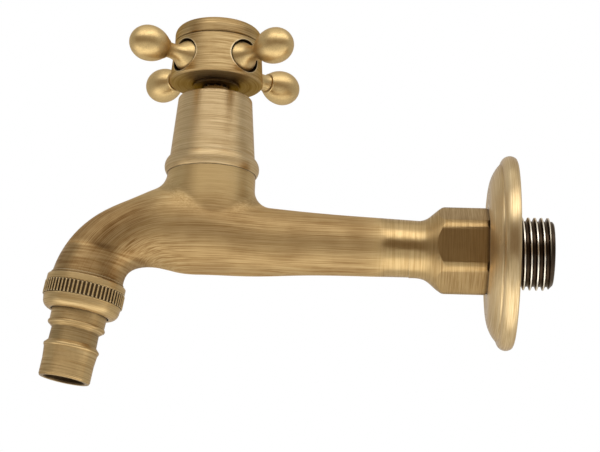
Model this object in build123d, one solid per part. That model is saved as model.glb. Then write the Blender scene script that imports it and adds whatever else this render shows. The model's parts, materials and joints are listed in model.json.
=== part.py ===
from build123d import *
import os
from math import cos, radians, sin

# A garden hose bib in antique brass: a cast body with a half-inch pipe inlet, a quarter-turn
# ceramic headpart under a conical shroud, a four-spoke handle and a removable hose nozzle.
#
# Frame, in millimetres: the origin is on the inlet's axis in the plane of the wall.
# +X runs into the wall, +Z up along the spindle, and the spout points to -X.
# Threads are plain cylinders over their crests.

# ---------------------------------------------------------------- driving dimensions
PIPE_THREAD_R = 10.478      # half-inch pipe thread
RUNNING = 0.05              # radial clearance of a part that turns or slides
SNUG = 0.02                 # radial clearance of a part that is screwed or pushed home

# inlet and wall
SHANK_END = 10.8            # end of the threaded shank, inside the wall
PLAIN_SHANK_R = 10.3        # the shank's unthreaded length inside the wall flange
HEX_END = -7.5              # face of the hexagon that the wall flange rests on
HEX_START = -20.4           # where the hexagon's corners begin
HEX_FLATS = 22.3            # width over the hexagon's flats
HEX_EDGE_R = 2.8            # its long edges are polished round
HEX_Z = 0.4                 # the cast hexagon and pipe sit a little above the machined thread
HEX_TURN = 4.5              # and the hexagon is turned by this angle, in degrees
CONE_START = -25.6          # where the pipe begins to swell into the hexagon
PIPE_R = 8.1
FLANGE_R = 27.5
INLET_BORE_R = 5.0
INLET_BORE_Z = -0.6

# bonnet, on the vertical axis of the spindle
BONNET_X = -86.9
NECK_R = 12.7
NECK_TOP = 20.8
NECK_BLEND = 5.6
CHAMBER_R = 9.9
CHAMBER_TOP = 13.8
SEAT_Z = 6.4
SEAT_PORT_R = 4.3
RING_TOP = 25.3
SHROUD_TOP = 44.1
SHROUD_TOP_R = 10.7

# cartridge stack, from the seat up
SEAL_TOP = 8.4
FIXED_DISC_TOP = 10.4
MOVING_DISC_TOP = 12.2
DRIVER_TOP = 14.4
THRUST_TOP = 15.0
GUIDE_TOP = 43.2            # top of the headpart's guide, under the retaining clip
DISC_R = 7.5
SPINDLE_R = 4.0
SPINDLE_TOP = 54.8

# handle
HUB_BOTTOM = 48.4
HUB_TOP = 60.7
HUB_BOTTOM_R = 13.6
HUB_TOP_R = 12.75
BOSS_R = 6.8
CAP_TOP = 66.0
CAP_SEAT_R = 9.0            # recess in the hub that the cap's spigot is pressed into
SPOKE_Z = 54.4
SPOKE_COUNT = 4
SPOKE_STUD_R = 2.5
SPOKE_HOLE_R = 5.0
BALL_CENTRE = 25.3          # distance of a ball's middle from the spindle's axis
BALL_R = 5.1
SPLINE_COUNT = 12

# outlet, whose axis leans outward from the vertical
OUTLET_LEAN = 9.1
OUTLET_TOP = (-115.75, 20.4)   # (x, z) on the outlet's axis that its lengths are counted from
SPOUT_END = 38.0
NUT_START = 32.3
NUT_END = 41.8
WASHER_END = 39.3
NOZZLE_FLANGE_END = 40.8
NOZZLE_END = 61.0
NOZZLE_FLANGE_R = 9.2
OUTLET_BORE_R = 6.0
TAIL_R = 7.35               # straight end of the nozzle's tail, under the hose clip


# ---------------------------------------------------------------- helpers
def rod(radius, low, high):
    """A cylinder about Z from one height to another."""
    return Pos(0, 0, (low + high) / 2) * Cylinder(radius, high - low)


def pipe(inner, outer, low, high):
    """A straight tube about Z."""
    return rod(outer, low, high) - rod(inner, low - 1, high + 1)


def corners(*points):
    """Straight outline edges through (radius, height) corners."""
    return Polyline(*[(r, 0, z) for r, z in points])


def arc(*points):
    """A round outline edge through three (radius, height) points."""
    return ThreePointArc(*[(r, 0, z) for r, z in points])


def curve(*points):
    """A smooth outline edge through (radius, height) points."""
    return Spline(*[(r, 0, z) for r, z in points])


def turned(*outline):
    """A solid turned about Z from the outline edges of its half section."""
    return revolve(make_face(list(outline)), Axis.Z)


def top_edges(solid, count=1):
    """The round edges of the highest faces."""
    return solid.edges().filter_by(GeomType.CIRCLE).sort_by(Axis.Z)[-count:]


bonnet = Pos(BONNET_X, 0, 0)
inlet = Plane(origin=(0, 0, 0), x_dir=(0, 1, 0), z_dir=(1, 0, 0))
lean = radians(OUTLET_LEAN)
outlet = Plane(origin=(OUTLET_TOP[0], 0, OUTLET_TOP[1]), x_dir=(0, 1, 0), z_dir=(-sin(lean), 0, -cos(lean)))


def outlet_point(distance):
    """A point of the outlet's axis, counted down from its top."""
    return (OUTLET_TOP[0] - distance * sin(lean), 0, OUTLET_TOP[1] - distance * cos(lean))


# ---------------------------------------------------------------- body
# Sections of the cast tube from the inlet to the outlet: place (x, z), lean of the tube
# from the horizontal in degrees, half its width and half its height.
TUBE_SECTIONS = [
    (-20.0, 0.3, 0, 8.1, 8.1),
    (-27.0, 0.5, 0, 8.1, 8.1),
    (-38.0, 0.8, 0, 8.35, 8.35),
    (-50.0, 1.1, 0, 8.65, 8.65),
    (-61.0, 1.35, 0, 9.15, 9.15),
    (-70.0, 1.5, 0, 10.1, 9.75),
    (-78.0, 2.0, 0, 12.0, 10.3),
    (-87.0, 3.6, 3, 13.4, 11.75),
    (-95.85, 4.65, 8, 12.9, 12.75),
    (-104.65, 3.4, 20, 10.9, 10.65),
    (-112.45, 0.8, 37, 9.7, 9.6),
    (-117.1, -2.9, 54, 9.6, 9.5),
    (-119.75, -7.5, 70, 9.9, 9.9),
]


def tube_section(x, z, slope, half_width, half_height):
    """One elliptical section across the cast tube."""
    tilt = radians(slope)
    plane = Plane(origin=(x, 0, z), x_dir=(0, 1, 0), z_dir=(-cos(tilt), 0, -sin(tilt)))
    return plane * Ellipse(half_width, half_height)


def make_hexagon():
    """The spanner hexagon with its conical shoulder, corners up and down."""
    length = HEX_END - CONE_START
    outline = RegularPolygon(HEX_FLATS / 2, 6, major_radius=False, rotation=90 + HEX_TURN)
    prism = Pos(0, 0, -4) * extrude(outline, length + 4)
    prism = fillet(prism.edges().filter_by(Axis.Z), HEX_EDGE_R)
    corner_r = HEX_FLATS / 3 ** 0.5 - HEX_EDGE_R * (2 / 3 ** 0.5 - 1)
    shoulder = HEX_START - CONE_START
    envelope = turned(
        corners((corner_r - 0.5, length), (0, length), (0, -4), (PIPE_R + 0.02, -4)),
        curve((PIPE_R + 0.02, -4), (PIPE_R + 0.05, -1.5), (PIPE_R + 0.5, 0.4), (PIPE_R + 2.1, shoulder / 2),
              (corner_r - 0.6, shoulder - 0.5)),
        arc((corner_r - 0.6, shoulder - 0.5), (corner_r - 0.15, shoulder + 0.3), (corner_r, shoulder + 1.6)),
        corners((corner_r, shoulder + 1.6), (corner_r, length - 1.4)),
        arc((corner_r, length - 1.4), (corner_r - 0.14, length - 0.55), (corner_r - 0.5, length)),
    )
    return inlet * Pos(0, HEX_Z, CONE_START) * (prism & envelope)


def make_waterway():
    """Inlet bore, seat port, valve chamber and the curved passage down the spout."""
    bore = inlet * Pos(0, INLET_BORE_Z, 0) * rod(INLET_BORE_R, BONNET_X - 4.5, SHANK_END + 1)
    port = bonnet * rod(SEAT_PORT_R, INLET_BORE_Z, SEAT_Z + 1)
    chamber = bonnet * rod(CHAMBER_R, SEAT_Z, CHAMBER_TOP)
    mouth = bonnet * rod(PIPE_THREAD_R + SNUG, CHAMBER_TOP - 0.01, NECK_TOP + 1)
    start = (BONNET_X - CHAMBER_R + 1, 0, 8.0)
    turn = outlet_point(17.4)
    route = FilletPolyline(start, turn, outlet_point(SPOUT_END + 1), radius=22)
    section = Plane(origin=start, z_dir=(turn[0] - start[0], 0, turn[2] - start[2])) * Circle(OUTLET_BORE_R)
    passage = sweep(section, path=route)
    return [bore, port, chamber, mouth, passage]


def make_body():
    """The casting: threaded shank, hexagon, pipe, valve chamber, neck and spout."""
    last = outlet * Pos(0, 0, NUT_START - 0.6) * Ellipse(10.2, 10.2)
    shell = loft([tube_section(*section) for section in TUBE_SECTIONS] + [last])
    shell += bonnet * rod(NECK_R, 4, NECK_TOP)
    neck_root = [
        edge for edge in shell.edges()
        if edge.center().Z < NECK_TOP - 0.5
        and all(
            abs(((edge @ t).X - BONNET_X) ** 2 + (edge @ t).Y ** 2 - NECK_R ** 2) < 1
            for t in (0, 0.25, 0.5, 0.75, 1)
        )
    ]
    shell = fillet(neck_root, NECK_BLEND)
    shell += make_hexagon()
    shank = chamfer(top_edges(rod(PIPE_THREAD_R, 0, SHANK_END)), 0.9)
    shell += inlet * (shank + rod(PLAIN_SHANK_R, HEX_END - 1, 0.1))
    spigot = chamfer(top_edges(rod(PIPE_THREAD_R, NUT_START - 0.8, SPOUT_END)), 0.7)
    shell += outlet * spigot
    for hollow in make_waterway():
        shell -= hollow
    return shell


def make_wall_flange():
    """The escutcheon: a domed plate with a groove before its rounded rim, hollow at the back."""
    bore = PIPE_THREAD_R + RUNNING + 0.02
    front = [
        corners((bore, 0), (bore, HEX_END), (17.0, HEX_END)),
        arc((17.0, HEX_END), (22.0, -6.65), (24.9, -4.85)),
        corners((24.9, -4.85), (25.15, -4.4), (25.45, -4.35), (25.7, -4.4)),
        arc((25.7, -4.4), (FLANGE_R, -2.2), (26.9, -0.25)),
        corners((26.9, -0.25), (26.4, 0), (25.2, 0)),
    ]
    hollow = [
        corners((25.2, 0), (24.4, -2.2)),
        arc((24.4, -2.2), (20.4, -4.6), (15.5, -5.3)),
        corners((15.5, -5.3), (14.2, -4.6), (14.2, 0), (bore, 0)),
    ]
    return inlet * turned(*front, *hollow)


# ---------------------------------------------------------------- headpart
WINDOW_LOW = 10.6
WINDOW_HIGH = 13.2
GASKET_TOP = 21.4
FLANGE_TOP = 23.2
SPANNER_TOP = 29.0
COLLAR_THREAD_R = 8.0
COLLAR_TOP = 35.0
STOP_R = 7.0                # outer radius of the spindle's stop lug
STOP_HALF = 15.0            # half the angle that the stop lug takes up
TURN = 90.0                 # the handle's quarter turn


def sector(inner, outer, low, high, start, sweep_angle):
    """Part of a ring about Z, from a start angle through a sweep, in degrees."""
    outline = make_face(corners((inner, low), (outer, low), (outer, high), (inner, high), (inner, low)))
    return Rot(0, 0, start) * revolve(outline, Axis.Z, sweep_angle)


def make_housing():
    """The screwed-in valve carrier: cage with two windows, thread, flange, hexagon and guide."""
    solid = rod(8.8, SEAL_TOP - 1.4, CHAMBER_TOP)
    solid += rod(PIPE_THREAD_R, CHAMBER_TOP, NECK_TOP + 0.1)
    solid += rod(8.9, NECK_TOP, GASKET_TOP)
    solid += rod(11.5, GASKET_TOP, FLANGE_TOP)
    spanner = Pos(0, 0, FLANGE_TOP) * RegularPolygon(8.5, 6, major_radius=False)
    solid += extrude(spanner, SPANNER_TOP - FLANGE_TOP)
    solid += rod(COLLAR_THREAD_R, SPANNER_TOP, COLLAR_TOP)
    solid += rod(6.2, COLLAR_TOP, GUIDE_TOP)
    solid -= pipe(8.9, 13, NECK_TOP, GASKET_TOP)
    solid -= rod(DISC_R + RUNNING, SEAL_TOP - 2, DRIVER_TOP - 0.5)
    solid -= rod(6.6, DRIVER_TOP - 0.6, THRUST_TOP)
    solid -= rod(SPINDLE_R + 0.03, THRUST_TOP - 1, GUIDE_TOP + 1)
    low, high = DRIVER_TOP - 1.2, DRIVER_TOP + 0.1
    solid -= sector(6.5, STOP_R + 0.6, low, high, -STOP_HALF - 0.5, TURN + 2 * STOP_HALF + 1)
    for side in (0, 180):
        window = Pos(0, 0, (WINDOW_LOW + WINDOW_HIGH) / 2) * Box(24, 8.4, WINDOW_HIGH - WINDOW_LOW)
        solid -= Rot(0, 0, side) * Pos(12, 0, 0) * window
    return bonnet * solid


def make_gasket():
    """The fibre washer between the neck and the headpart's flange."""
    return bonnet * pipe(9.0, 11.7, NECK_TOP, GASKET_TOP)


def make_seat_seal():
    """The rubber lip seal under the discs, pressed on the body's seat."""
    outline = [
        corners((SEAT_PORT_R, SEAT_Z), (6.6, SEAT_Z), (7.3, SEAT_Z + 0.5), (7.3, SEAL_TOP)),
        corners((7.3, SEAL_TOP), (SEAT_PORT_R, SEAL_TOP), (SEAT_PORT_R, SEAT_Z)),
    ]
    return bonnet * turned(*outline)


def half_moon(radius, low, high):
    """The half-moon opening of a ceramic disc, on its +X side."""
    ring = rod(radius, low, high)
    return ring & Pos(radius / 2 + 0.9, 0, (low + high) / 2) * Box(radius, 2 * radius, high - low)


def make_fixed_disc():
    """The lower ceramic disc: two half-moon ports, held by flats in the cage."""
    low, high = SEAL_TOP, FIXED_DISC_TOP
    disc = rod(DISC_R, low, high)
    for side in (0, 180):
        disc -= Rot(0, 0, side) * half_moon(5.4, low - 1, high + 1)
    return bonnet * disc


def make_moving_disc():
    """The upper ceramic disc: a blind side and an open side, with slots for the driver."""
    low, high = FIXED_DISC_TOP, MOVING_DISC_TOP
    disc = rod(DISC_R - 0.1, low, high)
    for side in (90, 270):
        disc -= Rot(0, 0, side) * half_moon(5.4, low - 1, high + 1)
    disc -= Pos(0, 0, high) * Box(2 * DISC_R + 2, 2.2, 1.6)
    return bonnet * disc


def make_thrust_washer():
    """The slip washer that the spindle's driver presses against."""
    return bonnet * pipe(SPINDLE_R + 0.1, 6.4, DRIVER_TOP, THRUST_TOP)


O_RING_SECTION_R = 0.55
O_RING_R = 3.47
O_RING_HEIGHTS = {"stem_o_ring_lower": 19.0, "stem_o_ring_upper": 24.0}
CLIP_LOW, CLIP_HIGH = GUIDE_TOP + 0.05, GUIDE_TOP + 0.85


def make_o_ring(height):
    """A rubber ring in one of the spindle's grooves."""
    return bonnet * Pos(0, 0, height) * Torus(O_RING_R, O_RING_SECTION_R)


def splines(radius, low, high, tooth_r):
    """The toothed end of the spindle, or with a larger tooth the bore that it fits."""
    solid = rod(radius, low, high)
    for place in PolarLocations(radius, SPLINE_COUNT):
        solid += place * rod(tooth_r, low, high)
    return solid


def make_spindle():
    """The spindle: driver with tongue and stop lug, two seal grooves, splines and a tapped top."""
    solid = rod(6.3, MOVING_DISC_TOP, DRIVER_TOP)
    solid += sector(5, STOP_R, DRIVER_TOP - 1.0, DRIVER_TOP - 0.1, -STOP_HALF, 2 * STOP_HALF)
    tongue = Pos(0, 0, MOVING_DISC_TOP - 0.25) * Box(13.6, 2.1, 0.9)
    solid += tongue & rod(7.2, MOVING_DISC_TOP - 2, MOVING_DISC_TOP + 0.2)
    solid += rod(SPINDLE_R, DRIVER_TOP - 0.1, 47.0)
    solid += splines(3.5, 46.9, SPINDLE_TOP, 0.45)
    for height in O_RING_HEIGHTS.values():
        solid -= pipe(O_RING_R - O_RING_SECTION_R, SPINDLE_R + 1, height - 0.65, height + 0.65)
    solid -= pipe(3.2, SPINDLE_R + 1, GUIDE_TOP, CLIP_HIGH + 0.05)
    solid -= rod(2.0 + SNUG, SPINDLE_TOP - 7, SPINDLE_TOP + 1)
    return bonnet * solid


def make_retaining_clip():
    """The open snap ring that keeps the spindle in the guide."""
    return bonnet * sector(3.2 + SNUG, 6.0, CLIP_LOW, CLIP_HIGH, 125, 290)


def make_shroud():
    """The conical cover over the headpart, with a rounded ring at its foot and an inner collar."""
    inner_low, inner_high = 12.0, SHROUD_TOP_R - 1.3
    web_low, web_high = 30.0, COLLAR_TOP - 0.6
    outer = [
        corners((inner_low, NECK_TOP), (12.9, NECK_TOP)),
        arc((12.9, NECK_TOP), (13.64, 22.8), (12.75, RING_TOP)),
        corners((12.75, RING_TOP), (12.3, RING_TOP + 0.15), (SHROUD_TOP_R + 0.1, SHROUD_TOP - 1.0)),
        arc((SHROUD_TOP_R + 0.1, SHROUD_TOP - 1.0), (SHROUD_TOP_R - 0.2, SHROUD_TOP - 0.25),
            (SHROUD_TOP_R - 0.9, SHROUD_TOP)),
        corners((SHROUD_TOP_R - 0.9, SHROUD_TOP), (7.6, SHROUD_TOP), (7.6, SHROUD_TOP - 1.4)),
    ]
    inner = [
        corners((7.6, SHROUD_TOP - 1.4), (inner_high, SHROUD_TOP - 1.4), (9.9, web_high)),
        corners((9.9, web_high), (COLLAR_THREAD_R + SNUG, web_high), (COLLAR_THREAD_R + SNUG, web_low)),
        corners((COLLAR_THREAD_R + SNUG, web_low), (10.4, web_low), (11.2, RING_TOP)),
        corners((11.2, RING_TOP), (inner_low, RING_TOP - 1.5), (inner_low, NECK_TOP)),
    ]
    return bonnet * turned(*outer, *inner)


# ---------------------------------------------------------------- handle
def spoke_places():
    """Turns a piece built along +X to each of the spokes' directions."""
    return [Rot(0, 0, 45 + 360 / SPOKE_COUNT * number) for number in range(SPOKE_COUNT)]


HUB_WEB_TOP = 57.6
SCREW_HEAD_TOP = HUB_WEB_TOP + 2.2
STUD_START = 7.0
FOOT_SEAT = 10.4            # bottom of the round pockets that the spokes' feet stand in


def make_hub():
    """The drum: splined bore, boss underneath, four round pockets and a recess for the cap."""
    solid = turned(
        corners((0, HUB_BOTTOM), (HUB_BOTTOM_R - 0.5, HUB_BOTTOM), (HUB_BOTTOM_R, HUB_BOTTOM + 0.5)),
        corners((HUB_BOTTOM_R, HUB_BOTTOM + 0.5), (HUB_TOP_R, HUB_TOP - 0.35), (HUB_TOP_R - 0.35, HUB_TOP)),
        corners((HUB_TOP_R - 0.35, HUB_TOP), (0, HUB_TOP), (0, HUB_BOTTOM)),
    )
    solid += rod(BOSS_R, HUB_BOTTOM - 0.8, HUB_BOTTOM + 1)
    solid -= splines(3.5 + SNUG, HUB_BOTTOM - 2, SPINDLE_TOP + 0.4, 0.45 + 2 * SNUG)
    solid -= rod(2.2, SPINDLE_TOP, HUB_TOP)
    solid -= rod(CAP_SEAT_R, HUB_WEB_TOP, HUB_TOP + 1)
    for place in spoke_places():
        along = Plane(origin=(0, 0, SPOKE_Z), x_dir=(0, 1, 0), z_dir=(1, 0, 0))
        solid -= place * (along * rod(SPOKE_HOLE_R, FOOT_SEAT, HUB_BOTTOM_R + 1))
        solid -= place * (along * rod(SPOKE_STUD_R + SNUG, STUD_START - 0.4, FOOT_SEAT + 0.1))
    return bonnet * solid


def make_spoke(place):
    """One spoke: threaded stud, flared foot, slim waist, collar and an egg-shaped ball."""
    ball_start, ball_end = BALL_CENTRE - 5.7, BALL_CENTRE + 6.0
    solid = turned(
        corners((0, STUD_START), (SPOKE_STUD_R, STUD_START), (SPOKE_STUD_R, FOOT_SEAT), (4.45, FOOT_SEAT)),
        corners((4.45, FOOT_SEAT), (4.55, 11.9)),
        curve((4.55, 11.9), (3.75, 13.1), (2.75, 14.6), (2.25, 16.6), (2.3, 18.6), (2.45, ball_start - 0.25)),
        corners((2.45, ball_start - 0.25), (2.95, ball_start - 0.15), (3.05, ball_start + 0.25)),
        Bezier(
            (3.05, 0, ball_start + 0.25), (4.37, 0, ball_start + 1.8),
            (BALL_R, 0, BALL_CENTRE - 1.93), (BALL_R, 0, BALL_CENTRE + 0.1),
        ),
        Bezier(
            (BALL_R, 0, BALL_CENTRE + 0.1), (BALL_R, 0, BALL_CENTRE + 3.3),
            (2.8, 0, ball_end - 0.2), (0, 0, ball_end),
        ),
        corners((0, ball_end), (0, STUD_START)),
    )
    along = Plane(origin=(0, 0, SPOKE_Z), x_dir=(0, 1, 0), z_dir=(1, 0, 0))
    return bonnet * (place * (along * solid))


def make_screw():
    """The pan-head screw that clamps the hub to the spindle."""
    solid = rod(2.0, SPINDLE_TOP - 6, HUB_WEB_TOP)
    head = rod(3.5, HUB_WEB_TOP, SCREW_HEAD_TOP)
    solid += fillet(top_edges(head), 0.9)
    for turn in (0, 90):
        solid -= Rot(0, 0, turn) * Pos(0, 0, SCREW_HEAD_TOP) * Box(3.6, 0.8, 2.4)
    return bonnet * solid


def make_cap():
    """The domed cap over the hub, with a hollow spigot that is pressed into it."""
    outer_r = 12.72
    outer = [
        corners((CAP_SEAT_R - SNUG, HUB_TOP), (outer_r - 0.35, HUB_TOP), (outer_r, HUB_TOP + 0.4)),
        corners((outer_r, HUB_TOP + 0.4), (outer_r, CAP_TOP - 3.0)),
        arc((outer_r, CAP_TOP - 3.0), (outer_r - 0.85, CAP_TOP - 1.1), (outer_r - 3.0, CAP_TOP - 0.3)),
        Spline(
            (outer_r - 3.0, 0, CAP_TOP - 0.3), (5.0, 0, CAP_TOP - 0.06), (0, 0, CAP_TOP),
            tangents=[(-1, 0, 0.16), (-1, 0, 0)],
        ),
    ]
    inner = [
        corners((0, CAP_TOP), (0, CAP_TOP - 2.2), (7.6, CAP_TOP - 2.2), (7.6, HUB_TOP - 1.9)),
        corners((7.6, HUB_TOP - 1.9), (CAP_SEAT_R - SNUG, HUB_TOP - 1.9), (CAP_SEAT_R - SNUG, HUB_TOP)),
    ]
    return bonnet * turned(*outer, *inner)


# ---------------------------------------------------------------- outlet
RIB_COUNT = 60
RIB_START, RIB_END = NUT_START + 2.0, NUT_START + 6.0


def make_nut():
    """The knurled nut: plain lip, ribbed band, smooth band and an inner ledge for the nozzle."""
    thread_r = PIPE_THREAD_R + RUNNING
    lip_r, rib_r, band_r, ledge_r, inner_r = 11.3, 11.2, 11.1, 8.35, NOZZLE_FLANGE_R + 0.1
    thread_end = SPOUT_END + 0.3
    solid = turned(
        corners((thread_r, NUT_START), (lip_r - 0.2, NUT_START), (lip_r, NUT_START + 0.25)),
        corners((lip_r, NUT_START + 0.25), (lip_r, RIB_START - 0.2)),
        corners((lip_r, RIB_START - 0.2), (rib_r, RIB_START), (rib_r, RIB_END), (band_r, RIB_END + 0.2)),
        corners((band_r, RIB_END + 0.2), (band_r - 0.15, NUT_END - 2.1)),
        arc((band_r - 0.15, NUT_END - 2.1), (band_r - 0.75, NUT_END - 0.75), (band_r - 2.0, NUT_END)),
        corners((band_r - 2.0, NUT_END), (ledge_r, NUT_END), (ledge_r, NOZZLE_FLANGE_END)),
        corners((ledge_r, NOZZLE_FLANGE_END), (inner_r, NOZZLE_FLANGE_END), (inner_r, thread_end)),
        corners((inner_r, thread_end), (thread_r, thread_end), (thread_r, NUT_START)),
    )
    for place in PolarLocations(rib_r - 0.05, RIB_COUNT):
        solid += place * rod(0.34, RIB_START + 0.15, RIB_END - 0.15)
    return outlet * solid


def make_nozzle():
    """The hose nozzle: clamped flange, beaded collar, waist and a slightly tapered tail."""
    bore_r = OUTLET_BORE_R - 0.2
    bead, waist_low, shoulder, tail = 45.5, 50.6, 51.9, NOZZLE_END
    solid = turned(
        corners((bore_r, WASHER_END), (NOZZLE_FLANGE_R, WASHER_END), (NOZZLE_FLANGE_R, NOZZLE_FLANGE_END)),
        corners((NOZZLE_FLANGE_R, NOZZLE_FLANGE_END), (8.1, NOZZLE_FLANGE_END)),
        corners((8.1, NOZZLE_FLANGE_END), (7.9, 42.7), (7.85, bead - 0.6)),
        arc((7.85, bead - 0.6), (8.2, bead), (7.75, bead + 0.6)),
        corners((7.75, bead + 0.6), (6.8, bead + 1.4), (6.9, waist_low)),
        corners((6.9, waist_low), (7.65, shoulder - 0.5)),
        arc((7.65, shoulder - 0.5), (7.95, shoulder), (7.7, shoulder + 0.6)),
        corners((7.7, shoulder + 0.6), (7.6, shoulder + 1.3), (TAIL_R, tail - 5), (TAIL_R, tail - 0.5)),
        corners((TAIL_R, tail - 0.5), (TAIL_R - 0.25, tail), (bore_r + 0.2, tail)),
        corners((bore_r + 0.2, tail), (bore_r, tail - 0.5), (bore_r, WASHER_END)),
    )
    return outlet * solid


def make_washer():
    """The rubber washer between the spout and the nozzle."""
    return outlet * pipe(6.3, NOZZLE_FLANGE_R, SPOUT_END, WASHER_END)


# ---------------------------------------------------------------- all pieces
pieces = {
    "body": make_body(),
    "wall_flange": make_wall_flange(),
    "headpart_housing": make_housing(),
    "headpart_gasket": make_gasket(),
    "seat_seal": make_seat_seal(),
    "fixed_disc": make_fixed_disc(),
    "moving_disc": make_moving_disc(),
    "thrust_washer": make_thrust_washer(),
    "spindle": make_spindle(),
    "retaining_clip": make_retaining_clip(),
    "shroud": make_shroud(),
    "handle_hub": make_hub(),
    "handle_screw": make_screw(),
    "handle_cap": make_cap(),
    "hose_nut": make_nut(),
    "hose_nozzle": make_nozzle(),
    "nozzle_washer": make_washer(),
}
for name, height in O_RING_HEIGHTS.items():
    pieces[name] = make_o_ring(height)
for number, place in enumerate(spoke_places(), start=1):
    pieces[f"handle_spoke_{number}"] = make_spoke(place)

os.makedirs("parts", exist_ok=True)
for name, solid in pieces.items():
    export_step(solid, f"parts/{name}.step")
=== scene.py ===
# %% [markdown]
# # A garden hose bib in antique brass
#
# The fitting screws into a wall elbow with a half-inch pipe thread. A quarter turn of the
# four-spoke handle opens the ceramic valve under the conical shroud, and the hose is pushed
# over the nozzle at the end of the curved spout.
#
# The solid pieces arrive already modelled as the frame, so this lesson is about what the frame
# can't show: a real cut thread, and a finish of brushed, darkened brass on every piece.

# %% The frame
import json
from math import cos, pi, radians, sin

import bpy
from mathutils import Matrix, Vector

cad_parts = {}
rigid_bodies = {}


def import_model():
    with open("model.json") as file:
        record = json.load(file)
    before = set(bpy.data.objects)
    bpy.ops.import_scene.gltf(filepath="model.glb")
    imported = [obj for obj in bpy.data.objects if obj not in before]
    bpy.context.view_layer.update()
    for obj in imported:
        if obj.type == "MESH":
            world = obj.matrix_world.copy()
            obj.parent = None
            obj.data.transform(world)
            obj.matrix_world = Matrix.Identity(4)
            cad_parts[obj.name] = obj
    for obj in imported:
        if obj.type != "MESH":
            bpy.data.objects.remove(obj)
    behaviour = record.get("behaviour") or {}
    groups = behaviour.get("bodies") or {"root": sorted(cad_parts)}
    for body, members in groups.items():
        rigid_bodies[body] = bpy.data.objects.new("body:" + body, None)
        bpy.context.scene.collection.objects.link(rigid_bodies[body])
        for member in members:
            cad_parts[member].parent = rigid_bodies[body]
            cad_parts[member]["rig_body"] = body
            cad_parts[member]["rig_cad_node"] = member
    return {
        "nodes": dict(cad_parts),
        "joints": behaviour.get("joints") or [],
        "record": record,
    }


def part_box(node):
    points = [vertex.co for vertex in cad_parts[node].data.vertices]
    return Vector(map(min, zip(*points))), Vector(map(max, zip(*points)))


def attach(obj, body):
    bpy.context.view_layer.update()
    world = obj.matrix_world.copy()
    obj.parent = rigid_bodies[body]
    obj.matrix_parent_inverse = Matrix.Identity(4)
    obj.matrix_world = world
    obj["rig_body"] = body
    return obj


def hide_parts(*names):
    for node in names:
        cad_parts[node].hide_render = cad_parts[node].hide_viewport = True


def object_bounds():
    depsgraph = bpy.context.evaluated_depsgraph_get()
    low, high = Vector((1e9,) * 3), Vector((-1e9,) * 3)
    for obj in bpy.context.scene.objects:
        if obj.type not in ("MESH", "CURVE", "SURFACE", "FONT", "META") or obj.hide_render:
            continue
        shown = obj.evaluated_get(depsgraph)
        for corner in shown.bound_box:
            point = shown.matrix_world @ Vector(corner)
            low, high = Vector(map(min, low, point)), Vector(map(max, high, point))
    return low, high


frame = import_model()
cad_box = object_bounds()
nodes = frame["nodes"]
joints = {joint["name"]: joint for joint in frame["joints"]}
mounts = {mount["name"]: mount for mount in frame["record"]["mounts"]}

# %% [markdown]
# ## Three axes
#
# Almost every piece here was turned on a lathe about one of three axes: the inlet's, which runs
# into the wall, the spindle's, which stands upright, and the outlet's, which leans outward. The
# finish follows the tool, so each axis is read from the frame once and used by every material.

# %% The axes of the inlet, the spindle and the outlet
MM = 0.001
spindle_x = joints["handle_turn"]["pos_m"][0]
tail = mounts["hose_tail"]
outlet_way = Vector(tail["axis"]).normalized()


def lathe_frame(point, direction):
    """The turn and the shift, in millimetres, that lay an axis on Z through the origin."""
    turn = direction.rotation_difference(Vector((0, 0, 1))).to_matrix()
    shift = -(turn @ point) / MM
    return turn.to_euler(), shift


# Each line is a point on the axis, in metres, and the axis' direction.
INLET_LINE = (Vector((0, 0, 0)), Vector((1, 0, 0)))
SPINDLE_LINE = (Vector((spindle_x, 0, 0)), Vector((0, 0, 1)))
OUTLET_LINE = (Vector(tail["pos_m"]), outlet_way)
INLET_AXIS = lathe_frame(*INLET_LINE)
SPINDLE_AXIS = lathe_frame(*SPINDLE_LINE)
OUTLET_AXIS = lathe_frame(*OUTLET_LINE)
print("the spindle stands at x =", spindle_x, "and the outlet leans to", tuple(outlet_way))

# %% [markdown]
# ## The body
#
# The body is one casting whose shank is threaded. In the frame the thread is a plain cylinder,
# because a solid only needs the size over the crests. A copy of the body is cut off just in front
# of the wall's plane, where the flange hides the join, and a separate shank with a real thread
# takes the rest. The copy's loose triangles are merged first, so that it has shared edges to cut
# and to smooth.


# %% Selecting and cutting
SAME_POINT = 0.001 * MM


def only(obj):
    """Makes obj the one selected and active object."""
    bpy.ops.object.select_all(action="DESELECT")
    obj.select_set(True)
    bpy.context.view_layer.objects.active = obj


def open_edges(obj):
    """How many edges of a mesh don't join exactly two faces."""
    uses = {}
    for polygon in obj.data.polygons:
        for key in polygon.edge_keys:
            uses[key] = uses.get(key, 0) + 1
    return sum(1 for count in uses.values() if count != 2)


def cut_at(obj, x, keep_low):
    """Cuts a mesh at a plane across X, keeps one side and closes it."""
    only(obj)
    bpy.ops.object.mode_set(mode="EDIT")
    bpy.ops.mesh.select_all(action="SELECT")
    bpy.ops.mesh.bisect(plane_co=(x, 0, 0), plane_no=(1, 0, 0), use_fill=True,
                        clear_outer=keep_low, clear_inner=not keep_low)
    bpy.ops.object.mode_set(mode="OBJECT")


print("points closer than", SAME_POINT / MM, "mm are merged")

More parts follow.
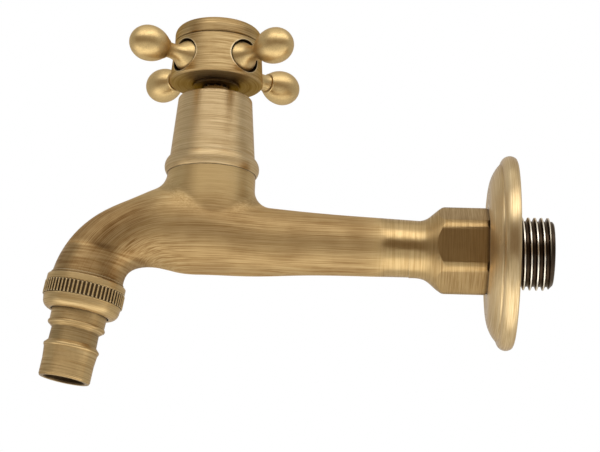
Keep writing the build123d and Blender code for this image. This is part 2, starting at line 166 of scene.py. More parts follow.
# %% The casting without its shank
SHANK_CUT = -0.3 * MM
CAST_EDGE = radians(28)
body = nodes["body"].copy()
body.data = nodes["body"].data.copy()
bpy.context.scene.collection.objects.link(body)
body.name = "cast_body"
body.parent = None
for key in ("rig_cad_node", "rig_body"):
    del body[key]
only(body)
bpy.ops.object.mode_set(mode="EDIT")
bpy.ops.mesh.select_all(action="SELECT")
bpy.ops.mesh.remove_doubles(threshold=SAME_POINT)
bpy.ops.object.mode_set(mode="OBJECT")
bpy.ops.mesh.customdata_custom_splitnormals_clear()
cut_at(body, SHANK_CUT, keep_low=True)
only(body)
bpy.ops.object.shade_smooth_by_angle(angle=CAST_EDGE)
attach(body, "valve")
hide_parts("body")
print("cast body:", len(body.data.polygons), "faces,", open_edges(body), "open edges")

# %% [markdown]
# ## The thread
#
# A half-inch pipe thread has 14 turns to the inch and flanks at 55 degrees, and here its crests
# are worn flat. It could be a bump, but the thread shows in outline beyond the flange, so it is
# cut for real: one tooth's outline is wound round the axis by a Screw modifier, trimmed at both
# ends, and then reduced to the part inside a chamfered sleeve, which also opens the bore.

# %% One tooth, wound into a thread
# The tooth's crest and root: their radii, and half of their widths.
PITCH = 25.4 / 14 * MM
CREST_R = 10.3 * MM
ROOT_R = 9.25 * MM
CREST_HALF = 0.16 * MM
ROOT_HALF = 0.30 * MM
STEPS_PER_TURN = 72
shank_end = cad_box[1][0]
turns = int((shank_end - SHANK_CUT) / PITCH) + 3
start = SHANK_CUT - 1.5 * PITCH

bpy.ops.object.select_all(action="DESELECT")
bpy.ops.mesh.primitive_plane_add(size=MM)
thread = bpy.context.active_object
thread.name = "inlet_thread"
bpy.ops.object.mode_set(mode="EDIT")
bpy.ops.mesh.select_all(action="SELECT")
bpy.ops.mesh.merge(type="CENTER")
bpy.ops.transform.translate(value=(start, 0, ROOT_R))
flank = (PITCH - 2 * ROOT_HALF - 2 * CREST_HALF) / 2
rise = CREST_R - ROOT_R
for step in ((2 * ROOT_HALF, 0, 0), (flank, 0, rise), (2 * CREST_HALF, 0, 0), (flank, 0, -rise)):
    bpy.ops.mesh.extrude_region_move(TRANSFORM_OT_translate={"value": step})
bpy.ops.object.mode_set(mode="OBJECT")
winding = thread.modifiers.new("winding", "SCREW")
winding.axis = "X"
winding.screw_offset = PITCH
winding.iterations = turns
winding.steps = STEPS_PER_TURN
winding.render_steps = STEPS_PER_TURN
only(thread)
bpy.ops.object.modifier_apply(modifier="winding")
bpy.ops.object.mode_set(mode="EDIT")
bpy.ops.mesh.select_all(action="SELECT")
bpy.ops.mesh.remove_doubles(threshold=SAME_POINT)
bpy.ops.mesh.normals_make_consistent(inside=False)
bpy.ops.object.mode_set(mode="OBJECT")
print("thread:", turns, "turns of", round(PITCH / MM, 3), "mm")

# %% The thread's ends, its chamfer and its bore
BORE_R = 5.0 * MM
BORE_Z = -0.6 * MM
CHAMFER = 1.5 * MM
OVERCUT = 0.3 * MM
SLEEVE_ROOM = 0.05 * MM
ROUND_SIDES = 96
THREAD_EDGE = radians(25)
cut_at(thread, SHANK_CUT, keep_low=False)
cut_at(thread, shank_end + OVERCUT, keep_low=True)


def boolean(obj, cutter, operation):
    """Applies an exact boolean with a cutter, and removes the cutter."""
    tool = obj.modifiers.new("cut", "BOOLEAN")
    tool.operation = operation
    tool.solver = "EXACT"
    tool.object = cutter
    only(obj)
    bpy.ops.object.modifier_apply(modifier="cut")
    bpy.data.objects.remove(cutter)


length = shank_end - SHANK_CUT + OVERCUT
bpy.ops.object.select_all(action="DESELECT")
bpy.ops.mesh.primitive_cylinder_add(vertices=ROUND_SIDES, radius=CREST_R + SLEEVE_ROOM, depth=length,
                                    location=(shank_end - length / 2, 0, 0), rotation=(0, pi / 2, 0))
sleeve = bpy.context.active_object
bpy.ops.object.mode_set(mode="EDIT")
bpy.ops.mesh.select_all(action="DESELECT")
bpy.ops.mesh.select_mode(type="FACE")
bpy.ops.object.mode_set(mode="OBJECT")
for polygon in sleeve.data.polygons:
    polygon.select = (sleeve.matrix_world @ polygon.center).x > shank_end - 0.01 * MM
bpy.ops.object.mode_set(mode="EDIT")
bpy.ops.mesh.bevel(offset=CHAMFER, offset_type="OFFSET", segments=1, affect="EDGES")
bpy.ops.object.mode_set(mode="OBJECT")
boolean(thread, sleeve, "INTERSECT")

bpy.ops.object.select_all(action="DESELECT")
bpy.ops.mesh.primitive_cylinder_add(vertices=ROUND_SIDES, radius=BORE_R, depth=3 * length,
                                    location=(0, 0, BORE_Z), rotation=(0, pi / 2, 0))
boolean(thread, bpy.context.active_object, "DIFFERENCE")
only(thread)
bpy.ops.object.transform_apply(location=True, rotation=True, scale=True)
bpy.ops.object.shade_smooth_by_angle(angle=THREAD_EDGE)
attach(thread, "valve")
print("inlet thread:", len(thread.data.polygons), "faces,", open_edges(thread), "open edges")

# %% [markdown]
# ## Brass that has been brushed
#
# Antique brass is plated dark, then brushed until the metal shows through in fine strokes. The
# strokes run with the tool: round the axis on turned pieces, along the tube on the casting. So
# one function makes the finish, and each piece says how its strokes run. A stroke is noise that
# is squeezed hard across the stroke and hardly at all along it, which needs no seam anywhere.
#
# The brush can't reach into a corner, so dark plating stays there, and it cuts a rim down to bright
# metal first. On top of that, corners are darkened with painted shade and rims brightened with a
# painted highlight. Ambient occlusion finds both: looked at from outside for the corners, and from
# inside the metal for the rims.


# %% Building a node tree in plain calls
def add(tree, kind, inputs=None, **settings):
    """Adds a node, gives it settings, and fills or links its inputs."""
    made = tree.nodes.new(kind)
    for key, value in settings.items():
        setattr(made, key, value)
    for key, value in (inputs or {}).items():
        if isinstance(value, bpy.types.NodeSocket):
            tree.links.new(value, made.inputs[key])
        else:
            made.inputs[key].default_value = value
    return made


def calc(tree, operation, *values):
    """One step of arithmetic on sockets and numbers."""
    return add(tree, "ShaderNodeMath", dict(enumerate(values)), operation=operation).outputs[0]


def distance(tree, across, up):
    """How far a point lies from an axis, from its two offsets."""
    squares = calc(tree, "MULTIPLY", across, across), calc(tree, "MULTIPLY", up, up)
    return calc(tree, "SQRT", calc(tree, "ADD", *squares))


def ramp(tree, value, low, high, start=0.0, end=1.0):
    """A smooth step from start to end while value goes from low to high."""
    inputs = {0: value, 1: low, 2: high, 3: start, 4: end}
    node = add(tree, "ShaderNodeMapRange", inputs, interpolation_type="SMOOTHSTEP")
    return node.outputs[0]


def mix_value(tree, amount, first, second):
    """Blends two numbers."""
    return add(tree, "ShaderNodeMix", {0: amount, 2: first, 3: second}, data_type="FLOAT").outputs[0]


def mix_colour(tree, amount, first, second):
    """Blends two colours."""
    return add(tree, "ShaderNodeMix", {0: amount, 6: first, 7: second}, data_type="RGBA").outputs[2]


print("node helpers are ready")


# %% Places, directions and noise
def place(tree, axis):
    """A point of the piece in millimetres, with the given lathe axis laid on Z."""
    turn, shift = axis
    here = add(tree, "ShaderNodeTexCoord").outputs["Object"]
    inputs = {"Vector": here, "Location": shift, "Rotation": turn, "Scale": (1 / MM,) * 3}
    point = add(tree, "ShaderNodeMapping", inputs).outputs[0]
    return point, add(tree, "ShaderNodeSeparateXYZ", {0: point}).outputs


def combine(tree, operation, first, second):
    """One step of vector arithmetic."""
    return add(tree, "ShaderNodeVectorMath", {0: first, 1: second}, operation=operation).outputs[0]


def mix_vector(tree, amount, first, second):
    """Blends two vectors."""
    return add(tree, "ShaderNodeMix", {0: amount, 4: first, 5: second}, data_type="VECTOR").outputs[1]


def round_axis(tree, axis_point, axis_way):
    """The direction of travel of a point that turns about an axis."""
    here = add(tree, "ShaderNodeTexCoord").outputs["Object"]
    return combine(tree, "CROSS_PRODUCT", axis_way, combine(tree, "SUBTRACT", here, axis_point))


def noise(tree, vector, scale, detail=2.0, roughness=0.5):
    """Noise from 0 to 1."""
    inputs = {"Vector": vector, "Scale": scale, "Detail": detail, "Roughness": roughness}
    return add(tree, "ShaderNodeTexNoise", inputs).outputs[0]


def vector_of(tree, x, y, z):
    """Three numbers as a vector."""
    return add(tree, "ShaderNodeCombineXYZ", {0: x, 1: y, 2: z}).outputs[0]


print("places are read in millimetres,", round(1 / MM), "to the metre")

# %% Strokes round an axis
ALONG = 0.08
ACROSS = 4.0


def turned_strokes(tree, axis):
    """Noise whose strokes run round the axis, on walls and on flat faces alike."""
    point, (x, y, z) = place(tree, axis)
    radius = distance(tree, x, y)
    drift = calc(tree, "MULTIPLY", calc(tree, "ADD", x, calc(tree, "MULTIPLY", y, 0.7)), ALONG)
    strokes = vector_of(tree, calc(tree, "MULTIPLY", radius, ACROSS), drift,
                        calc(tree, "MULTIPLY", z, ACROSS))
    return noise(tree, strokes, 1.0, detail=4, roughness=0.62), point, (radius, z)


def crosswise_strokes(tree, axis, across=ACROSS):
    """Noise whose strokes lie square to the axis, for faces that aren't round."""
    _, (x, y, z) = place(tree, axis)
    strokes = vector_of(tree, calc(tree, "MULTIPLY", x, ALONG), calc(tree, "MULTIPLY", y, ALONG),
                        calc(tree, "MULTIPLY", z, across))
    return noise(tree, strokes, 1.0, detail=4, roughness=0.62), z


print("strokes are squeezed", round(ACROSS / ALONG), "to 1")

# %% Painted shade in corners, and worn rims with a painted highlight
# Painted shade: the dark brown laid into corners and hollows, under the drum and in the thread's roots.
PAINTED_SHADE = (0.045, 0.026, 0.013, 1)
# Worn rims: bare metal, brightened further as a painted highlight.
RIM_HIGHLIGHT = (0.95, 0.77, 0.46, 1)
RIM_REACH = 0.6
OPENNESS_SAMPLES = 8


def openness(tree, reach, inside=False):
    """1 where nothing is near within reach millimetres, less in a corner or, inside, at a rim."""
    return add(tree, "ShaderNodeAmbientOcclusion", {"Distance": reach * MM},
               samples=OPENNESS_SAMPLES, inside=inside).outputs["AO"]


def shade_corners_highlight_rims(tree, metal, crevice):
    """The metal with painted shade in its corners, and its worn rims brightened by a painted highlight."""
    corner = openness(tree, crevice)
    rim = openness(tree, RIM_REACH, inside=True)
    metal = mix_colour(tree, ramp(tree, rim, 0.80, 0.45, 0.0, 0.75), metal, RIM_HIGHLIGHT)
    return mix_colour(tree, ramp(tree, corner, 0.35, 0.93, 0.95, 0.0), metal, PAINTED_SHADE)


print("rims are looked for within", RIM_REACH, "mm")

# %% Highlights across the strokes
DRAWN_OUT = 0.8
QUARTER_TURN = 0.25


def comb(tree, shader, way):
    """Draws the shader's highlights out across strokes that run the given way."""
    way = add(tree, "ShaderNodeVectorTransform", {0: way}, vector_type="VECTOR",
              convert_from="OBJECT", convert_to="WORLD")
    tree.links.new(way.outputs[0], shader.inputs["Tangent"])
    shader.inputs["Anisotropic"].default_value = DRAWN_OUT
    shader.inputs["Anisotropic Rotation"].default_value = QUARTER_TURN


print("highlights are drawn out by", DRAWN_OUT)

# %% The finish that every brass piece shares
PALE = (0.67, 0.49, 0.24, 1)
WARM = (0.50, 0.325, 0.125, 1)
BROWN = (0.22, 0.108, 0.032, 1)
EDGE_TINT = (0.95, 0.86, 0.74, 1)


def brushed_brass(name, strokes_of, way_of=None, shade_of=None, patina=0.5, roughness=0.33, relief=0.02,
                  crevice=1.2, pale=PALE, warm=WARM, edge=EDGE_TINT, patina_of=None, evenness=0.25):
    """Antique brass. strokes_of makes the strokes, way_of their direction, shade_of where shade is
    painted.
    """
    material = bpy.data.materials.new(name)
    material.use_nodes = True
    tree = material.node_tree
    shader = tree.nodes["Principled BSDF"]
    strokes, point, extra = strokes_of(tree)

    # Bare metal, paler where a stroke cut deeper.
    bare = ramp(tree, strokes, 0.24 - 0.2 * evenness, 0.74 + 0.2 * evenness)
    metal = mix_colour(tree, bare, warm, pale)

    # Patina, which lies in clouds and stays between the strokes.
    cloud = noise(tree, point, 0.11, detail=3)
    amount = patina_of(tree) if patina_of else patina
    worn = calc(tree, "MULTIPLY", ramp(tree, cloud, 0.30, 0.68, 0.35 + 0.5 * evenness, 1.0), amount)
    shadow = ramp(tree, strokes, 0.62, 0.34, 0.0, 1.0)
    dull = calc(tree, "MULTIPLY", worn, mix_value(tree, shadow, evenness, 1.0))
    # Painted shade in the corners and a painted highlight on the worn rims.
    metal = shade_corners_highlight_rims(tree, mix_colour(tree, dull, metal, BROWN), crevice)
    # Painted shade where shade_of asks for it.
    if shade_of:
        metal = mix_colour(tree, shade_of(tree, extra), metal, PAINTED_SHADE)
    tree.links.new(metal, shader.inputs["Base Color"])

    rough = calc(tree, "ADD", ramp(tree, strokes, 0.7, 0.3, roughness - 0.06, roughness + 0.12),
                 calc(tree, "MULTIPLY", worn, 0.15))
    tree.links.new(rough, shader.inputs["Roughness"])
    shader.inputs["Metallic"].default_value = 1.0
    shader.inputs["Specular Tint"].default_value = edge
    if relief:
        bump = add(tree, "ShaderNodeBump", {"Strength": 1.0, "Distance": relief * MM, "Height": strokes})
        tree.links.new(bump.outputs[0], shader.inputs["Normal"])
    if way_of:
        comb(tree, shader, way_of(tree))
    return material


print("brass is", PALE[:3], "where it is bare and", BROWN[:3], "under patina")


# %% Giving a finish to pieces
def wear(material, *names):
    """Gives a material to frame pieces by name."""
    for name in names:
        nodes[name].data.materials.clear()
        nodes[name].data.materials.append(material)


print(len(nodes) - 1, "frame pieces are given a finish by name, all but the replaced body")

# %% [markdown]
# ## The turned pieces
#
# Flange, shroud, drum, cap, nut and nozzle came off a lathe, so their strokes are rings. The
# knurl's grooves, the underside of the drum and the nozzle's bore are painted almost black as shade.

# %% Turned brass
SILKY = (0.82, 0.64, 0.37, 1)
LIGHT = (0.62, 0.43, 0.19, 1)
TAN = (0.70, 0.52, 0.32, 1)
hub_low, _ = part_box("handle_hub")
HUB_BASE = hub_low.z / MM
# The knurled band, in millimetres along the outlet from the hose's place on the nozzle.
KNURL_START = -24.1
KNURL_END = -19.8
# Radii about the outlet: the knurl's ribs and grooves, the nozzle's waist and its bore.
RIB_R = 11.42
GROOVE_R = 11.24
WAIST_R = (7.3, 6.7)
BORE_WALL_R = (6.1, 5.9)


def hub_shade(tree, extra):
    """Painted shade under the drum and its boss, darker towards the middle."""
    radius, height = extra
    under = ramp(tree, height, HUB_BASE + 1.25, HUB_BASE + 0.6)
    return calc(tree, "MULTIPLY", under, ramp(tree, radius, 13.5, 7.0, 0.5, 0.72))


def knurl_shade(tree, extra):
    """Painted shade in the bottoms of the knurl's grooves."""
    radius, along = extra
    band = calc(tree, "MULTIPLY", ramp(tree, along, KNURL_START, KNURL_START + 0.4),
                ramp(tree, along, KNURL_END, KNURL_END - 0.4))
    groove = calc(tree, "MULTIPLY", ramp(tree, radius, RIB_R, GROOVE_R), band)
    return calc(tree, "MULTIPLY", groove, 0.93)


def bore_shade(tree, extra):
    """Painted shade inside the nozzle and, far less, in the hollow of its waist."""
    radius, _ = extra
    hollow = ramp(tree, radius, *WAIST_R, 0.0, 0.38)
    return calc(tree, "MAXIMUM", hollow, ramp(tree, radius, *BORE_WALL_R, 0.0, 0.95))


def turned_about(axis, line):
    """The strokes and their direction for pieces turned about one axis."""
    return lambda tree: turned_strokes(tree, axis), lambda tree: round_axis(tree, *line)


on_spindle = turned_about(SPINDLE_AXIS, SPINDLE_LINE)
on_inlet = turned_about(INLET_AXIS, INLET_LINE)
on_outlet = turned_about(OUTLET_AXIS, OUTLET_LINE)

wear(brushed_brass("turned_shroud", *on_spindle, patina=0.4, relief=0.03, crevice=2.0,
                  pale=SILKY, warm=LIGHT, evenness=0.6), "shroud")
wear(brushed_brass("turned_drum", *on_spindle, hub_shade, patina=0.5, edge=TAN), "handle_hub")
wear(brushed_brass("turned_cap", *on_spindle, patina=0.7, roughness=0.32, edge=TAN), "handle_cap")
wear(brushed_brass("turned_flange", *on_inlet, patina=0.35, roughness=0.30, pale=SILKY, warm=LIGHT),
     "wall_flange")
wear(brushed_brass("turned_nozzle", *on_outlet, bore_shade, patina=0.5, crevice=3.0), "hose_nozzle")
wear(brushed_brass("knurled_nut", *on_outlet, knurl_shade, patina=0.35, crevice=1.6), "hose_nut")
print("turned pieces have ringed strokes")

# %% [markdown]
# ## The four spokes
#
# The balls are small and were polished more than brushed, so they have a smooth satin finish
# with soft clouds of patina instead of strokes.

# %% Satin brass
GOLDEN = (0.84, 0.62, 0.28, 1)


def satin_strokes(tree):
    """Hardly any strokes: fine grain that is the same in every direction."""
    point, _ = place(tree, SPINDLE_AXIS)
    return noise(tree, point, 4.0, detail=2, roughness=0.4), point, None


spokes = [f"handle_spoke_{number}" for number in (1, 2, 3, 4)]
wear(brushed_brass("satin_spoke", satin_strokes, patina=0.2, roughness=0.34, relief=0, crevice=0.8,
                  pale=GOLDEN, warm=LIGHT, evenness=1.0), *spokes)
print("satin on", len(spokes), "spokes")

# %% [markdown]
# ## The casting
#
# The casting was brushed by hand: along the pipe and round the bend of the spout, round the
# neck, round the pipe's end with the hexagon, and across the spout just above the nut. Each
# direction is its own stretched noise, and smooth steps in place blend them where they meet.
# The patina goes by place too: the neck and the pipe's end were brushed almost clean, the hexagon
# and the pipe less so, and the spout hardly.

# %% Where each way of brushing rules
# The frame's own axes, which turn nothing and shift nothing.
FRAME_AXES = (Matrix.Identity(3).to_euler(), Vector((0, 0, 0)))
# The centre of the spout's bend and the neck's radius, in millimetres.
BEND_X = -98.0
BEND_Z = -16.3
NECK_R = 12.7
# Steps from none to all: up the neck, along the pipe to its end, and down and out along the spout.
NECK_FOOT = (4, 11)
PIPE_END = (-41, -34)
SPOUT_END = (-37, -33)
SPOUT_OUT = (-100, -108)


def from_bend_centre(tree, x, z):
    """How far a point lies left of the bend's centre, or 0 right of it, and how far above."""
    return calc(tree, "MINIMUM", calc(tree, "SUBTRACT", x, BEND_X), 0.0), calc(tree, "SUBTRACT", z, BEND_Z)


def body_regions(tree, x, neck_radius, height, drop):
    """How much a point belongs to the neck, to the pipe's end and to the place above the nut."""
    round_neck = ramp(tree, neck_radius, NECK_R + 3.2, NECK_R + 0.6)
    on_neck = calc(tree, "MULTIPLY", round_neck, ramp(tree, height, *NECK_FOOT))
    near_nut = calc(tree, "MULTIPLY", ramp(tree, drop, *SPOUT_END), ramp(tree, x, *SPOUT_OUT))
    return on_neck, ramp(tree, x, *PIPE_END), calc(tree, "MULTIPLY", near_nut, 0.75)


print("the spout bends about x", BEND_X, "and z", BEND_Z, "mm")

# %% Strokes of the casting
# The pipe's half width grows from slim to stout, which keeps the strokes even round it.
SLIM_X, SLIM_R = -50, 8.8
STOUT_X, STOUT_R = -85, 12.5


def body_strokes(tree):
    """Strokes along the tube, with other directions at the neck, the inlet and the outlet."""
    point, (x, y, z) = place(tree, FRAME_AXES)
    from_bend, rise = from_bend_centre(tree, x, z)
    reach = distance(tree, from_bend, rise)
    width = ramp(tree, x, SLIM_X, STOUT_X, SLIM_R, STOUT_R)
    aside = calc(tree, "MULTIPLY", calc(tree, "DIVIDE", y, width), 1.6 * ACROSS)
    along = vector_of(tree, aside, calc(tree, "MULTIPLY", reach, 1.1 * ACROSS),
                      calc(tree, "MULTIPLY", x, 0.6 * ALONG))
    along = noise(tree, along, 1.0, detail=4, roughness=0.6)
    neck, _, (neck_radius, height) = turned_strokes(tree, SPINDLE_AXIS)
    pipe_end, _ = crosswise_strokes(tree, INLET_AXIS)
    cross, drop = crosswise_strokes(tree, OUTLET_AXIS, across=1.6)
    on_neck, on_end, near_nut = body_regions(tree, x, neck_radius, height, drop)
    strokes = mix_value(tree, on_neck, along, neck)
    strokes = mix_value(tree, on_end, strokes, pipe_end)
    return mix_value(tree, near_nut, strokes, cross), point, None


def body_ways(tree):
    """The direction of the same strokes."""
    _, (x, _, z) = place(tree, FRAME_AXES)
    from_bend, rise = from_bend_centre(tree, x, z)
    way = vector_of(tree, rise, 0.0, calc(tree, "MULTIPLY", from_bend, -1.0))
    _, (aside, ahead, height) = place(tree, SPINDLE_AXIS)
    _, (_, _, drop) = place(tree, OUTLET_AXIS)
    regions = body_regions(tree, x, distance(tree, aside, ahead), height, drop)
    lines = SPINDLE_LINE, INLET_LINE, OUTLET_LINE
    for region, line in zip(regions, lines):
        other = combine(tree, "NORMALIZE", round_axis(tree, *line), (0, 0, 0))
        way = mix_vector(tree, region, combine(tree, "NORMALIZE", way, (0, 0, 0)), other)
    return way


print("strokes run along the tube and round three axes")

# %% The casting's patina and its material
def body_patina(tree):
    """Little patina on the neck and the pipe's end, more on hexagon and pipe, most on the spout."""
    _, (x, _, z) = place(tree, FRAME_AXES)
    pipe = ramp(tree, x, -34, -46, 0.25, 0.72)
    spout = ramp(tree, x, -98, -112, 0.0, 0.32)
    hexagon = ramp(tree, x, -25, -20, 0.0, 0.3)
    below_neck = ramp(tree, z, 6, 17, 1.0, 0.0)
    tube = calc(tree, "MULTIPLY", calc(tree, "ADD", pipe, spout), below_neck)
    return calc(tree, "ADD", tube, hexagon)


casting = brushed_brass("brushed_casting", body_strokes, body_ways, roughness=0.34, relief=0.015,
                        crevice=2.0, patina_of=body_patina, evenness=0.6)
body.data.materials.clear()
body.data.materials.append(casting)
print("casting:", len(casting.node_tree.nodes), "nodes")

# %% [markdown]
# ## The thread's finish
#
# The roots of the thread are painted black, as shade and as the dark plating that stays there. The
# crests, rubbed bright by handling, are painted near white as a highlight.

# %% Painted shade in the roots and a painted highlight on the crests
# The crests' near white is a painted highlight on metal rubbed bright; the whole thread starts from it.
RUBBED_CREST_HIGHLIGHT = (0.92, 0.88, 0.80, 1)
CREST_HIGHLIGHT_FROM = CREST_R / MM - 0.05
END_FACE = shank_end / MM - 0.03


def thread_shade(tree, extra):
    """Painted shade, black below the crests, and less so on the shank's end face."""
    radius, along = extra
    root = calc(tree, "MULTIPLY", ramp(tree, radius, CREST_HIGHLIGHT_FROM, CREST_HIGHLIGHT_FROM - 0.08), 0.985)
    return calc(tree, "MULTIPLY", root, ramp(tree, along, END_FACE, END_FACE - 0.1, 0.45, 1.0))


thread.data.materials.clear()
thread.data.materials.append(brushed_brass("rubbed_highlit_thread", *on_inlet, thread_shade, patina=0, relief=0,
                                             pale=RUBBED_CREST_HIGHLIGHT, warm=RUBBED_CREST_HIGHLIGHT))
print("thread crests are bare beyond", round(CREST_HIGHLIGHT_FROM, 2), "mm from the axis")

# %% [markdown]
# ## The pieces inside
#
# They show only when the fitting is taken apart, but each still has the finish of its own stuff:
# machined brass, zinc-plated and spring steel, pressed fibre, rubber, ceramic and nylon.


# %% Plain finishes
def plain_finish(name, colour, dark, metallic, roughness, grain, relief):
    """A material with fine grain in its colour, its roughness and its relief."""
    material = bpy.data.materials.new(name)
    material.use_nodes = True
    tree = material.node_tree
    shader = tree.nodes["Principled BSDF"]
    point, _ = place(tree, SPINDLE_AXIS)
    speck = noise(tree, point, grain, detail=4, roughness=0.6)
    spread = ramp(tree, speck, 0.3, 0.7)
    tree.links.new(mix_colour(tree, spread, dark, colour), shader.inputs["Base Color"])
    rough = ramp(tree, speck, 0.3, 0.7, roughness - 0.05, roughness + 0.08)
    tree.links.new(rough, shader.inputs["Roughness"])
    shader.inputs["Metallic"].default_value = metallic
    bump = add(tree, "ShaderNodeBump", {"Strength": 1.0, "Distance": relief * MM, "Height": speck})
    tree.links.new(bump.outputs[0], shader.inputs["Normal"])
    return material


print("plain finishes have grain and no strokes")

# %% Seven finishes for the inside
machined = brushed_brass("machined_brass", *on_spindle, patina=0.1, roughness=0.25, relief=0.03)
zinc = plain_finish("zinc_steel", (0.66, 0.66, 0.62, 1), (0.50, 0.50, 0.48, 1),
                    metallic=1.0, roughness=0.30, grain=1.5, relief=0.01)
spring = plain_finish("spring_steel", (0.40, 0.40, 0.41, 1), (0.28, 0.28, 0.30, 1),
                      metallic=1.0, roughness=0.35, grain=2.0, relief=0.01)
fibre = plain_finish("pressed_fibre", (0.46, 0.15, 0.09, 1), (0.33, 0.10, 0.06, 1),
                     metallic=0.0, roughness=0.75, grain=2.5, relief=0.04)
rubber = plain_finish("nitrile_rubber", (0.035, 0.034, 0.033, 1), (0.018, 0.018, 0.018, 1),
                      metallic=0.0, roughness=0.60, grain=1.8, relief=0.02)
ceramic = plain_finish("lapped_ceramic", (0.90, 0.89, 0.85, 1), (0.84, 0.83, 0.78, 1),
                       metallic=0.0, roughness=0.14, grain=3.0, relief=0.003)
nylon = plain_finish("natural_nylon", (0.84, 0.82, 0.75, 1), (0.76, 0.73, 0.65, 1),
                     metallic=0.0, roughness=0.45, grain=1.2, relief=0.01)
inside = {
    machined: ("headpart_housing", "spindle"),
    zinc: ("handle_screw",),
    spring: ("retaining_clip",),
    fibre: ("headpart_gasket",),
    rubber: ("seat_seal", "stem_o_ring_lower", "stem_o_ring_upper", "nozzle_washer"),
    ceramic: ("fixed_disc", "moving_disc"),
    nylon: ("thrust_washer",),
}
for material, names in inside.items():
    wear(material, *names)
print("inside pieces have", len(inside), "finishes")

# %% [markdown]
# ## Floor, light and camera
#
# Brass shows what it mirrors, so the room matters more than the lamps. A wide soft window in
# front and above makes the broad highlight. It is part of the world's shader, because there its
# edges can fade, while a lamp's edge shows as a hard line in the metal. A low lamp stands for the
# light that a pale floor sends up. What lies level in front stays dim and warm, which gives the
# brass its dark bands. The background is a pale shell that only the camera sees, so it doesn't
# wash out the metal.

# %% Floor and shell
FLOOR_Z = -0.24
FLOOR_R = 0.75
SHELL_R = 3.0


def plain_stage(name, colour):
    """A matt pale surface with a breath of unevenness."""
    material = bpy.data.materials.new(name)
    material.use_nodes = True
    tree = material.node_tree
    here = add(tree, "ShaderNodeTexCoord").outputs["Object"]
    patchy = noise(tree, here, 4.0)
    shader = tree.nodes["Principled BSDF"]
    tone = mix_colour(tree, patchy, colour, tuple(0.97 * part for part in colour[:3]) + (1,))
    tree.links.new(tone, shader.inputs["Base Color"])
    shader.inputs["Roughness"].default_value = 0.8
    return material


bpy.ops.object.select_all(action="DESELECT")
bpy.ops.mesh.primitive_circle_add(vertices=128, radius=FLOOR_R, fill_type="NGON",
                                  location=(spindle_x / 2, 0, FLOOR_Z))
floor = bpy.context.active_object
floor.name = "floor"
floor.data.materials.append(plain_stage("pale_floor", (0.86, 0.86, 0.85, 1)))

bpy.ops.mesh.primitive_uv_sphere_add(segments=48, ring_count=24, radius=SHELL_R, location=(0, 0, 0))
shell = bpy.context.active_object
shell.name = "pale_shell"
glow = bpy.data.materials.new("shell_glow")
glow.use_nodes = True
glow.node_tree.nodes.clear()
white = add(glow.node_tree, "ShaderNodeEmission", {"Color": (1, 1, 1, 1), "Strength": 1.0})
sink = add(glow.node_tree, "ShaderNodeOutputMaterial")
glow.node_tree.links.new(white.outputs[0], sink.inputs[0])
shell.data.materials.append(glow)
for ray in ("diffuse", "glossy", "transmission", "volume_scatter", "shadow"):
    setattr(shell, "visible_" + ray, False)
print("the floor lies", -FLOOR_Z, "m below the inlet")

# %% Lamps
middle = (cad_box[0] + cad_box[1]) / 2


def soft_light(name, elevation, distance_away, size, radiance):
    """A rectangular soft light above or below the fitting, facing its middle."""
    data = bpy.data.lights.new(name, "AREA")
    data.shape = "RECTANGLE"
    data.size, data.size_y = size
    data.energy = radiance * pi * size[0] * size[1]
    lamp = bpy.data.objects.new(name, data)
    bpy.context.scene.collection.objects.link(lamp)
    away = Vector((0, -cos(radians(elevation)), sin(radians(elevation))))
    lamp.location = middle + distance_away * away
    lamp.visible_camera = False
    lamp.rotation_euler = away.to_track_quat("Z", "Y").to_euler()
    print(name, "gives", round(data.energy, 2), "W")


soft_light("top_light", 88, 1.2, (1.2, 0.6), 0.4)
soft_light("floor_light", -82, 0.23, (1.0, 0.22), 0.95)

# %% The room
# A direction's height is -1 straight down and 1 straight up. Each pair is a soft edge, from none
# to full.
WINDOW_TURN = radians(15)
WINDOW_FOOT = (0.42, 0.56)
WINDOW_HEAD = (0.97, 0.78)
WINDOW_SIDES = (0.0, 0.75)
DIM_FOOT = (-0.60, -0.35)
DIM_HEAD = (0.46, 0.30)
DIM_SIDES = (-0.2, -0.7)
BEHIND = (0.0, 0.5)
WALL_GLOW = 0.52
DIM_GLOW = 0.25
BEHIND_GLOW = 0.12
WINDOW_GLOW = 1.95
WALL_WHITE = (0.96, 0.97, 1.0, 1)
DIM_WARM = (1.0, 0.78, 0.58, 1)

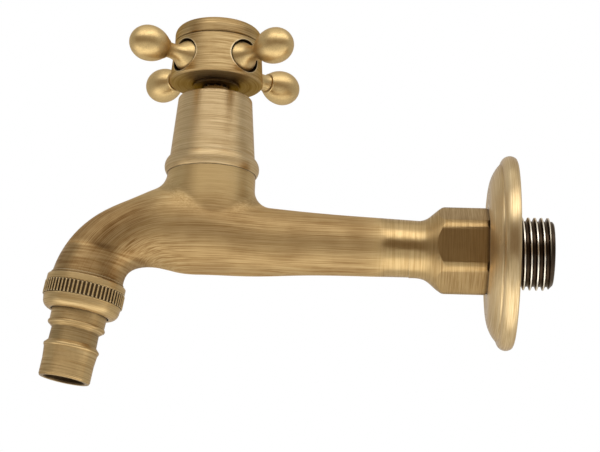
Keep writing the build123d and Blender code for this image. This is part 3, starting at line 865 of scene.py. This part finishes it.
world = bpy.data.worlds.new("room")
world.use_nodes = True
sky = world.node_tree
way_out = add(sky, "ShaderNodeTexCoord").outputs["Generated"]
out_x, out_y, out_z = add(sky, "ShaderNodeSeparateXYZ", {0: way_out}).outputs
level_part = calc(sky, "SQRT", calc(sky, "SUBTRACT", 1.0, calc(sky, "MULTIPLY", out_z, out_z)))
facing = calc(sky, "SUBTRACT", calc(sky, "MULTIPLY", out_x, sin(WINDOW_TURN)),
              calc(sky, "MULTIPLY", out_y, cos(WINDOW_TURN)))
facing = calc(sky, "DIVIDE", facing, level_part)
window = calc(sky, "MULTIPLY", ramp(sky, out_z, *WINDOW_FOOT), ramp(sky, out_z, *WINDOW_HEAD))
window = calc(sky, "MULTIPLY", window, ramp(sky, facing, *WINDOW_SIDES))
level = calc(sky, "MULTIPLY", ramp(sky, out_z, *DIM_FOOT), ramp(sky, out_z, *DIM_HEAD))
dim = calc(sky, "MULTIPLY", ramp(sky, out_y, *DIM_SIDES), level)
strength = calc(sky, "ADD", mix_value(sky, dim, WALL_GLOW, DIM_GLOW),
                calc(sky, "MULTIPLY", ramp(sky, out_y, *BEHIND), BEHIND_GLOW))
strength = calc(sky, "ADD", strength, calc(sky, "MULTIPLY", window, WINDOW_GLOW))
background = sky.nodes["Background"]
sky.links.new(mix_colour(sky, dim, WALL_WHITE, DIM_WARM), background.inputs["Color"])
sky.links.new(strength, background.inputs["Strength"])
bpy.context.scene.world = world
print("the window is", WINDOW_GLOW / WALL_GLOW, "times as bright as the walls")

# %% Camera
# It stands on the fitting's right side, about half a metre away and a little below it.
LENS_MM = 100.4
SENSOR_MM = 36
CAMERA_PLACE = (-0.0378, -0.4609, -0.1167)
PAN = radians(2.86)
TILT = radians(90 + 14.95)
ROLL = radians(2.18)
camera_data = bpy.data.cameras.new("camera")
camera_data.sensor_width = SENSOR_MM
camera_data.lens = LENS_MM
camera = bpy.data.objects.new("camera", camera_data)
camera.location = CAMERA_PLACE
look = Matrix.Rotation(PAN, 3, "Z") @ Matrix.Rotation(TILT, 3, "X") @ Matrix.Rotation(ROLL, 3, "Z")
camera.rotation_euler = look.to_euler()
bpy.context.scene.collection.objects.link(camera)
bpy.context.scene.camera = camera
bpy.context.scene.view_settings.view_transform = "Standard"
print("camera", round((camera.location - middle).length, 3), "m from the middle")
